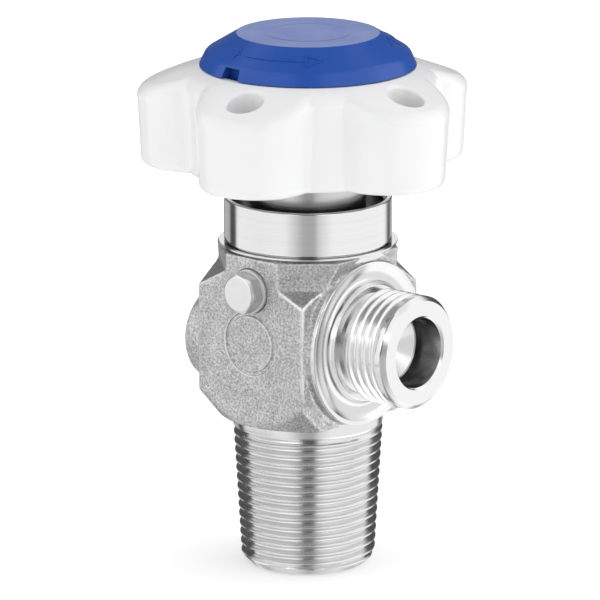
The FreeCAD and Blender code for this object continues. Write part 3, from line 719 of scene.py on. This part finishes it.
def glandBarrel():
    g = gland
    top = nutHigh.z
    return turned([
        (g["bore"], nutLow.z), (g["footRadius"], nutLow.z), (g["footRadius"], g["stepLevel"], 0.1),
        (g["radius"], g["stepLevel"], 0.2), (g["radius"], top - g["topChamfer"], 0.1),
        (g["topRadius"], top, 0.1), (g["bore"] + 0.4, top, 0.1), (g["bore"], top - 0.4, 0.05)], 192)


finishPiece(turnedNeck(), "turnedNeck", "housing", collarSteel, ("valve_body",), 30)
finishPiece(glandBarrel(), "glandBarrel", "housing", barrelSteel, ("gland_nut",), 30)


# Handwheel

wheel = {
    "lobes": 5, "firstLobe": -4.5, "lobeCentre": 21.2, "lobeRadius": 11.6, "webRadius": 24.7, "blend": 1.3,
    "draft": 0.8, "sideHeight": 15.0, "sideTop": 0.6, "height": 19.6, "topRound": 2.0, "footRound": 1.2,
    "wall": 2.8, "coneRows": 7, "holed": (0, 4), "holeRadius": 3.4, "holeCentre": 25.9, "holeLip": 0.6,
    "tubeRadius": 5.2, "tubeRise": 1.2, "ribHalf": 1.0, "ribDepth": 8.0, "hubRadius": 12.8,
    "hubLevel": 82.0, "insertRadius": 7.5, "insertTop": 88.0, "wellRadius": 9.6, "seatRadius": 19.3,
    "seatDepth": 2.8, "ceiling": 91.6, "capRadius": 20.7, "steps": 720,
}
wheelTop = wheelFoot + wheel["height"]
rimLevel = wheelFoot + wheel["sideHeight"]
topSlope = (wheelTop - rimLevel) / (wheel["lobeCentre"] + wheel["lobeRadius"] - wheel["capRadius"])
roofDrop = wheel["wall"] / cos(atan(topSlope))


def lobeTurns():
    return [radians(wheel["firstLobe"] + 360 / wheel["lobes"] * k) for k in range(wheel["lobes"])]


def holeTurns():
    turns = lobeTurns()
    return [turns[k] for k in wheel["holed"]]


def wheelReach(turn, inset):
    # How far the wheel's outline lies from the axis in one direction, moved in by inset.
    sector = fullTurn / wheel["lobes"]
    away = (turn - radians(wheel["firstLobe"]) + sector / 2) % sector - sector / 2
    web = wheel["webRadius"] - inset
    side = (wheel["lobeRadius"] - inset) ** 2 - (wheel["lobeCentre"] * sin(away)) ** 2
    lobe = wheel["lobeCentre"] * cos(away) + (sqrt(side) if side > 0 else -sqrt(-side))
    soft = wheel["blend"]
    gap = max(min((lobe - web) / soft, 1.0), -1.0)
    return max(lobe, web) + soft * (1 - abs(gap)) ** 2 / 4


def coneLevel(radius):
    return wheelTop - topSlope * (radius - wheel["capRadius"])


def roofLevel(radius):
    return coneLevel(radius) - roofDrop


def draftAt(level):
    return -wheel["draft"] * (level - rimLevel) / wheel["sideHeight"]


def moveRing(verts, inset, level):
    # level is a number, or a function of the distance from the axis.
    for vert in verts:
        turn = atan2(vert.co.y, vert.co.x)
        radius = wheelReach(turn, inset)
        vert.co = polar(turn, radius, level(radius) if callable(level) else level)


def eased(share):
    # Rise and run along a quarter round.
    return sin(share * pi / 2), cos(share * pi / 2)


def wheelShell():
    # Rows go from the foot's inner edge up the outside, over the top into the well, and back down inside.
    w = wheel
    bm = bmesh.new()
    ring = bmesh.ops.create_circle(bm, cap_ends=False, radius=1.0, segments=w["steps"])["verts"]
    edges = list(bm.edges)
    foot = w["footRound"]
    rows = [(w["wall"], wheelFoot)]
    for k in range(6):
        rise, run = eased(k / 5)
        rows.append((foot * (1 - rise), wheelFoot + foot * (1 - run)))
    side = w["sideHeight"] - foot - w["topRound"] - w["sideTop"]
    rows += [(0.0, wheelFoot + foot + side * k / 7) for k in range(1, 8)]
    for k in range(9):
        rise, run = eased(k / 8)
        sink = w["topRound"] * (1 - rise)
        rows.append((w["topRound"] * (1 - run), lambda radius, sink=sink: coneLevel(radius) - sink))
    for k, (inset, level) in enumerate(rows):
        if k > 0:
            ring, edges = pulled(bm, edges)
        moveRing(ring, inset + draftAt(rimLevel if callable(level) else level), level)
    for k in range(1, w["coneRows"] + 1):
        ring, edges = pulled(bm, edges)
        for vert in ring:
            turn = atan2(vert.co.y, vert.co.x)
            start = wheelReach(turn, w["topRound"] + draftAt(rimLevel))
            radius = start + (w["capRadius"] + 0.3 - start) * k / w["coneRows"]
            vert.co = polar(turn, radius, coneLevel(radius))
    seatLevel = wheelTop - w["seatDepth"]
    for radius, level in (
            (w["capRadius"] + 0.1, wheelTop - 0.02), (w["capRadius"] - 0.2, wheelTop),
            (w["seatRadius"] + 0.2, wheelTop), (w["seatRadius"], wheelTop - 0.2),
            (w["seatRadius"], seatLevel + 0.2), (w["seatRadius"] - 0.2, seatLevel),
            (w["wellRadius"] + 0.3, seatLevel), (w["wellRadius"], seatLevel - 0.3),
            (w["wellRadius"], w["insertTop"]), (w["insertRadius"], w["insertTop"]),
            (w["insertRadius"], w["hubLevel"] + 0.2),
            (w["insertRadius"] + 0.2, w["hubLevel"]), (w["hubRadius"] - 0.3, w["hubLevel"]),
            (w["hubRadius"], w["hubLevel"] + 0.3), (w["hubRadius"], w["ceiling"] - 0.5),
            (w["hubRadius"] + 0.5, w["ceiling"]), (w["capRadius"] - 0.2, w["ceiling"]),
            (w["capRadius"], roofLevel(w["capRadius"]))):
        ring, edges = pulled(bm, edges)
        roundRing(ring, radius, level)
    for inset, level in ((w["wall"] + 0.5, roofLevel), (w["wall"], lambda radius: roofLevel(radius) - 0.5),
                         (w["wall"] - 0.4, wheelFoot + 7.0)):
        ring, edges = pulled(bm, edges)
        moveRing(ring, inset, level)
    bmesh.ops.bridge_loops(bm, edges=[edge for edge in bm.edges if edge.is_boundary])
    return outward(bm)


def tubeBar(turn, radius, low, high, steps=64):
    # The wall round one hole, with its top inside the wheel's coned roof.
    bm = bmesh.new()
    bmesh.ops.create_cone(bm, cap_ends=True, segments=steps, radius1=radius, radius2=radius,
                          depth=high - low)
    middle = (low + high) / 2
    placed(bm, shift=polar(turn, wheel["holeCentre"], middle))
    for vert in bm.verts:
        if vert.co.z > middle:
            vert.co.z = coneLevel(hypot(vert.co.x, vert.co.y)) - wheel["wall"] / 2
    bmesh.ops.triangulate(bm, faces=[face for face in bm.faces if len(face.verts) > 4])
    return bm


def ribBar(turn):
    w = wheel
    low = rimLevel - w["ribDepth"]
    high = w["ceiling"] + 1.5
    start = w["hubRadius"] - 0.6
    end = w["webRadius"] - w["wall"] + 0.8
    bm = bmesh.new()
    bmesh.ops.create_cube(bm, size=1.0)
    bmesh.ops.scale(bm, vec=(end - start, 2 * w["ribHalf"], high - low), verts=bm.verts)
    return placed(placed(bm, shift=((start + end) / 2, 0, (low + high) / 2)), turn)


def holeTool(turn):
    # A bar whose top opens out with a soft lip that follows the wheel's coned top.
    w = wheel
    centre = polar(turn, w["holeCentre"], wheelFoot - 2.0)
    bm = bmesh.new()
    bmesh.ops.create_circle(bm, cap_ends=False, radius=w["holeRadius"], segments=64)
    edges = list(placed(bm, shift=centre).edges)
    lip = w["holeLip"]
    shape = [(0.0, -lip - 2.0), (0.0, -lip)]
    for k in range(1, 7):
        rise, run = eased(k / 6)
        shape.append((lip * (1 - run), lip * (rise - 1)))
    shape.append((lip, 4.0))
    for spread, rise in shape:
        ring, edges = pulled(bm, edges)
        for vert in ring:
            away = (vert.co - centre).xy.normalized() * (w["holeRadius"] + spread)
            vert.co.xy = centre.xy + away
            vert.co.z = coneLevel(vert.co.xy.length) + rise
    bmesh.ops.holes_fill(bm, edges=bm.edges[:], sides=0)
    return outward(bm)


def wheelBody():
    w = wheel
    bm = wheelShell()
    added = bmesh.new()
    for turn in lobeTurns():
        joined(added, ribBar(turn + pi / w["lobes"]))
    for turn in holeTurns():
        joined(added, tubeBar(turn, w["tubeRadius"], wheelFoot + w["tubeRise"], wheelTop))
    bm = carved(bm, added, "UNION")
    holes = bmesh.new()
    for turn in holeTurns():
        joined(holes, holeTool(turn))
    return carved(bm, holes)


finishPiece(wheelBody(), "wheelBody", "wheel", whitePlastic, ("handwheel",), 40)


# Cap

cap = {
    "radius": 20.7, "bandRadius": 19.5, "bandHeight": 2.7, "height": 6.3, "topRadius": 13.6, "wall": 1.8,
    "spigotRadius": 19.1, "spigotWall": 1.6, "spigotDepth": 2.6, "gap": 0.18,
    "dimpleRadius": 8.0, "dimpleDepth": 0.06,
    "windowRoot": 17.9, "windowWidth": 4.8, "windowHeight": 2.3, "windowTurn": -95.5, "windowLean": 0.5,
    "markHigh": 0.16, "markWide": 0.36,
}


def capShell():
    c = cap
    foot = wheelTop
    band = foot + c["bandHeight"]
    top = foot + c["height"]
    inner = c["spigotRadius"] - c["spigotWall"]
    bm = turned([
        (0, top - c["dimpleDepth"]), (c["dimpleRadius"] - 0.3, top - c["dimpleDepth"], 0.1),
        (c["dimpleRadius"] + 0.3, top, 0.1), (c["topRadius"], top, 0.1), (c["bandRadius"], band, 0.5),
        (c["radius"], foot + c["gap"], 0.1), (c["spigotRadius"] + 0.3, foot + c["gap"]),
        (c["spigotRadius"], foot - 0.1), (c["spigotRadius"], foot - c["spigotDepth"], 0.1),
        (inner, foot - c["spigotDepth"], 0.1), (inner, foot + 0.5, 0.4),
        (c["topRadius"] - 1.0, top - c["wall"], 0.5), (0, top - c["wall"])], 256)
    return carved(bm, windowTool())


def windowTool():
    # The notch in the cap's band, narrower at its top.
    c = cap
    low = wheelTop - 0.3
    high = wheelTop + c["windowHeight"]
    half = c["windowWidth"] / 2
    shape = [(-half, low), (half, low), (half - c["windowLean"], high), (c["windowLean"] - half, high)]
    notch = prism([(c["windowRoot"], y, z) for y, z in shape], (4.0, 0, 0))
    return placed(notch, radians(c["windowTurn"]))


# Marks on the cap's cone as lines of (turn in degrees, share of the way up the cone)
capMarks = [
    [(turn, 0.45) for turn in (-93, -86, -79, -72, -65, -58, -50.7)],
    [(-50.7, 0.66), (-50.2, 0.25), (-40.6, 0.46), (-50.7, 0.66)],
    [(-105, 0.45), (-99, 0.45)],
    [(-102, 0.24), (-102, 0.66)],
    [(turn, 0.5) for turn in (80, 73, 66, 59, 52, 45, 38.7)],
    [(38.4, 0.77), (39.3, 0.27), (25.5, 0.51), (38.4, 0.77)],
    [(87, 0.5), (93, 0.5)],
]


def onCone(turn, share, rise):
    c = cap
    run = c["bandRadius"] - c["topRadius"]
    climb = c["height"] - c["bandHeight"]
    length = hypot(run, climb)
    radius = c["bandRadius"] - run * share + rise * climb / length
    level = wheelTop + c["bandHeight"] + climb * share + rise * run / length
    return polar(radians(turn), radius, level)


def markBar(first, second):
    # One straight stroke of a mark: a low ridge with sloping sides that stands in the cone.
    c = cap
    bm = bmesh.new()
    rings = []
    low = [onCone(*spot, -0.3) for spot in (first, second)]
    high = [onCone(*spot, c["markHigh"]) for spot in (first, second)]
    along = (low[1] - low[0]).normalized()
    side = along.cross((high[0] - low[0]).normalized()) * c["markWide"] / 2
    for end, way in ((0, -1), (1, 1)):
        reach = along * way * c["markWide"] / 2
        rings.append([bm.verts.new(spot) for spot in (
            low[end] - side * 1.5 + reach, low[end] + side * 1.5 + reach,
            high[end] + side + reach * 0.6, high[end] - side + reach * 0.6)])
    bm.faces.new(rings[0])
    bm.faces.new(rings[1])
    for k in range(4):
        bm.faces.new((rings[0][k], rings[0][(k + 1) % 4], rings[1][(k + 1) % 4], rings[1][k]))
    return outward(bm)


def capSigns():
    bm = bmesh.new()
    for line in capMarks:
        for first, second in zip(line, line[1:]):
            joined(bm, markBar(first, second))
    return bm


finishPiece(capShell(), "capShell", "wheel", bluePlastic, ("colour_cap",), 25)
finishPiece(capSigns(), "capSigns", "wheel", bluePlastic, ("colour_cap",), 25)


# Relief plug

plug = {
    "acrossFlats": 7.0, "headHeight": 2.8, "headTurn": -13.0, "crownDrop": 1.1, "washerRadius": 4.25,
    "washerHole": 3.0, "washerHeight": 1.1, "seatY": 16.6,
}


def layAlongMinusY(bm, start):
    return placed(bm, pi / 2, "X", (0, -start, plugLevel))


def plugHexagon():
    p = plug
    corner = p["acrossFlats"] / sqrt(3)
    head = p["headHeight"]
    bm = bmesh.new()
    bmesh.ops.create_cone(bm, cap_ends=True, segments=6, radius1=corner, radius2=corner, depth=head)
    placed(bm, radians(30 + p["headTurn"]), shift=(0, 0, head / 2))
    bmesh.ops.bevel(bm, geom=bm.edges[:], offset=0.12, affect="EDGES", segments=2, profile=0.5, material=-1)
    crown = turned([(0, -1.0), (corner + 0.5, -1.0), (corner + 0.5, head - p["crownDrop"]),
                    (corner - 0.75, head - 0.02, 0.1), (0, head)], 96)
    return layAlongMinusY(carved(bm, crown, "INTERSECT"), p["seatY"] + p["washerHeight"])


def plugWasher():
    p = plug
    return layAlongMinusY(turned([
        (p["washerHole"], 0), (p["washerRadius"], 0, 0.1), (p["washerRadius"], p["washerHeight"], 0.25),
        (p["washerHole"], p["washerHeight"])], 128), p["seatY"])


finishPiece(plugHexagon(), "plugHexagon", "housing", plugSteel, ("relief_plug",), 25)
finishPiece(plugWasher(), "plugWasher", "housing", plugSteel, ("relief_washer",), 25)


# Diaphragms

disc = {"radius": 12.0, "dishOuter": 8.8, "dishFlat": 3.7, "dish": 1.8, "thickness": 0.25, "soft": 0.9}


def pressedDisc(rimLow):
    d = disc
    rimHigh = rimLow + d["thickness"]
    soft = d["soft"]
    return turned([
        (0, rimLow - d["dish"]), (d["dishFlat"], rimLow - d["dish"], soft), (d["dishOuter"], rimLow, soft),
        (d["radius"], rimLow), (d["radius"], rimHigh), (d["dishOuter"], rimHigh, soft),
        (d["dishFlat"], rimHigh - d["dish"], soft), (0, rimHigh - d["dish"])], 96)


springAlloy = steelTurned("springAlloy", tone=0.7, rough=(0.2, 0.3), lines=3.0)
for discName, discNode in (("sealingDisc", "sealing_diaphragm"), ("backingDisc", "backing_diaphragm")):
    rimTop = boxInMm(discNode)[1].z
    piece = finishPiece(pressedDisc(rimTop - disc["thickness"]), discName, "housing", springAlloy,
                        (discNode,), 30)
    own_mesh(piece)


# Carried-over pieces get their finish

brassTurned = plainGrained("brassTurned", (0.62, 0.42, 0.17, 1), (0.78, 0.56, 0.25, 1), (0.22, 0.34), 1.0)
platedSteel = plainGrained("platedSteel", (0.55, 0.55, 0.56, 1), (0.7, 0.7, 0.7, 1), (0.2, 0.3), 1.0)
sealRubber = plainGrained("sealRubber", (0.012, 0.012, 0.013, 1), (0.03, 0.03, 0.031, 1), (0.55, 0.7), 0.0)
seatPlastic = plainGrained("seatPlastic", (0.68, 0.66, 0.6, 1), (0.76, 0.74, 0.69, 1), (0.35, 0.45), 0.0)
finishes = {"brass": brassTurned, "plated_steel": platedSteel, "turned_steel": stemSteel,
            "seal_rubber": sealRubber, "seat_plastic": seatPlastic, "spring_alloy": springAlloy}
for name, node in nodes.items():
    if node.hide_render:
        continue
    slotName = node.material_slots[0].material.name.split(".")[0] if node.material_slots else ""
    node.material_slots[0].material = finishes.get(slotName, platedSteel)
    print("node:", name, slotName)
print("stage: pieces done")


# Floor, light and camera

def whiteFloor():
    bm = bmesh.new()
    bmesh.ops.create_grid(bm, x_segments=1, y_segments=1, size=8.0)
    floor = asObject(bm, "floor")
    material = bpy.data.materials.new("floorWhite")
    material.use_nodes = True
    tree = material.node_tree
    setInputs(tree, tree.nodes["Principled BSDF"], Base_Color=(1, 1, 1, 1), Roughness=0.9,
              Specular_IOR_Level=0.0, Emission_Color=(1, 1, 1, 1), Emission_Strength=0.14)
    floor.data.materials.append(material)
    floor.visible_glossy = False


lens = {"azimuth": 40.5, "elevation": 14.2, "distance": 1.4, "length": 439.9, "aimHeight": 0.055,
        "shiftX": -0.01338, "shiftY": -0.0308}


def photoCamera():
    turn = radians(lens["azimuth"])
    rise = radians(lens["elevation"])
    back = polar(turn - pi / 2, cos(rise), sin(rise))
    data = bpy.data.cameras.new("camera")
    data.lens = lens["length"]
    data.sensor_width = 36.0
    data.shift_x = lens["shiftX"]
    data.shift_y = lens["shiftY"]
    data.clip_start = 0.05
    data.clip_end = 50.0
    camera = bpy.data.objects.new("camera", data)
    camera.location = Vector((0, 0, lens["aimHeight"])) + back * lens["distance"]
    camera.rotation_mode = "QUATERNION"
    camera.rotation_quaternion = (-back).to_track_quat("-Z", "Y")
    bpy.context.scene.collection.objects.link(camera)
    bpy.context.scene.camera = camera


# The world. Ways are seen from the camera: front is towards it, right to its right, aside to either side.
# A limit is (way, start, full): the patch comes up between the two places along that way.
studio = {
    # Strength seen in reflections by turn round the object, 0 at the camera and 90 at its right, in degrees
    "walls": ((-180, 0.12), (-168, 0.12), (-161, 0.5), (-138, 0.5), (-133, 0.08), (-120, 0.08), (-114, 1.05),
              (-32, 1.05), (-6, 0.5), (9, 0.48), (15, 0.8), (34, 1.1), (130, 1.1), (139, 0.5), (142, 0.15),
              (152, 0.15), (157, 0.5), (176, 0.5), (180, 0.15)),
    # (tone, limits), each over the ones before it
    "patches": (
        (0.12, (("front", -0.64, -0.76), ("up", -0.16, -0.06), ("up", 0.6, 0.5))),
        (0.08, (("front", -0.5, -0.66), ("aside", 0.22, 0.28), ("up", -0.16, -0.06), ("up", 0.8, 0.72))),
        (0.95, (("up", 0.12, 0.18), ("front", -0.8, -0.86), ("aside", 0.18, 0.13))),
        (1.9, (("aside", 0.15, 0.3), ("up", 0.2, 0.28), ("up", 0.5, 0.42), ("front", -0.3, -0.1),
               ("right", -0.85, -0.7))),
        (0.08, (("aside", 0.26, 0.12), ("front", 0.0, 0.2), ("up", -0.1, 0.05))),
        (0.12, (("up", 0.78, 0.93),)),
    ),
    "groundShades": (
        (0.35, (("front", -0.5, -0.66), ("aside", 0.22, 0.28))),
        (0.3, (("aside", 0.1, 0.0), ("front", -0.2, -0.5))),
    ),
    "core": (("aside", 0.26, 0.12), ("front", 0.0, 0.2)),
    "under": (("aside", 0.3, 0.15), ("up", -0.96, -0.985)),
    "edge": (("up", -0.35, -0.34), ("up", -0.302, -0.312), ("right", -0.75, -0.85)),
    # Light for all rays but reflections, summed: (way, start, full, tone at the start, tone at the full)
    "dome": (("up", -0.2, 1.0, 0.88, 0.95), ("aside", 0.35, 0.9, 0.0, 0.34), ("front", 0.2, 0.9, 0.0, -0.12),
             ("right", 0.2, 0.8, 0.0, 0.36)),
}


def patchOf(tree, ways, limits):
    # One where all the limits are full, nought outside them.
    return product(tree, *[rangeOf(tree, ways[way], start, full) for way, start, full in limits])


def greyOf(tree, tone):
    return addNode(tree, "CombineColor", Red=tone, Green=tone, Blue=tone).outputs[0]


def wallsOf(tree, ways):
    around = sums(tree, "ARCTAN2", ways["right"], ways["front"])
    ramp = addNode(tree, "ValToRGB", Fac=rangeOf(tree, around, -pi, pi))
    stops = ramp.color_ramp.elements
    while len(stops) > 1:
        stops.remove(stops[-1])
    stops[0].position = 0.0
    for k, (turn, tone) in enumerate(studio["walls"]):
        stop = stops[0] if k == 0 else stops.new((turn + 180) / 360)
        stop.color = (tone, tone, tone, 1)
    return ramp.outputs[0]


def studioWorld():
    world = bpy.data.worlds.new("studio")
    bpy.context.scene.world = world
    world.use_nodes = True
    tree = world.node_tree
    tree.nodes.clear()
    way = addNode(tree, "TexCoord").outputs["Generated"]
    fromCamera = addNode(tree, "Mapping", Vector=way,
                         Rotation=(0, 0, radians(90 - lens["azimuth"]))).outputs[0]
    parts = addNode(tree, "SeparateXYZ", Vector=fromCamera).outputs
    ways = dict(zip(("front", "right", "up"), parts))
    ways["aside"] = sums(tree, "ABSOLUTE", ways["right"])
    seen = wallsOf(tree, ways)
    lamps = greyOf(tree, rangeOf(tree, seen, 0.1, 1.0, 0.3, 1.15))
    seen = blendOf(tree, rangeOf(tree, ways["up"], 0.3, 0.45), seen, lamps)
    for tone, limits in studio["patches"]:
        seen = blendOf(tree, patchOf(tree, ways, limits), seen, (tone, tone, tone, 1))
    ground = rangeOf(tree, ways["right"], 0.2, 0.5, 0.85, 1.5)
    for left, limits in studio["groundShades"]:
        ground = product(tree, ground, rangeOf(tree, patchOf(tree, ways, limits), 0.0, 1.0, 1.0, left))
    dark = sums(tree, "MAXIMUM", patchOf(tree, ways, studio["core"]), patchOf(tree, ways, studio["under"]))
    ground = product(tree, ground, rangeOf(tree, dark, 0.0, 1.0, 1.0, 0.3))
    seen = blendOf(tree, rangeOf(tree, ways["up"], -0.42, -0.5), seen, greyOf(tree, ground))
    seen = blendOf(tree, patchOf(tree, ways, studio["edge"]), seen, (0.12, 0.12, 0.12, 1))
    dome = 0.0
    for way, start, full, low, high in studio["dome"]:
        dome = sums(tree, "ADD", dome, rangeOf(tree, ways[way], start, full, low, high))
    path = addNode(tree, "LightPath").outputs
    light = blendOf(tree, path["Is Glossy Ray"], greyOf(tree, dome), seen)
    light = blendOf(tree, path["Is Camera Ray"], light, (1, 1, 1, 1))
    back = addNode(tree, "Background", Color=light, Strength=1.0)
    addNode(tree, "OutputWorld", Surface=back.outputs[0])


whiteFloor()
photoCamera()
studioWorld()
bpy.context.scene.view_settings.view_transform = "Standard"
print("stage: floor, light and camera done")
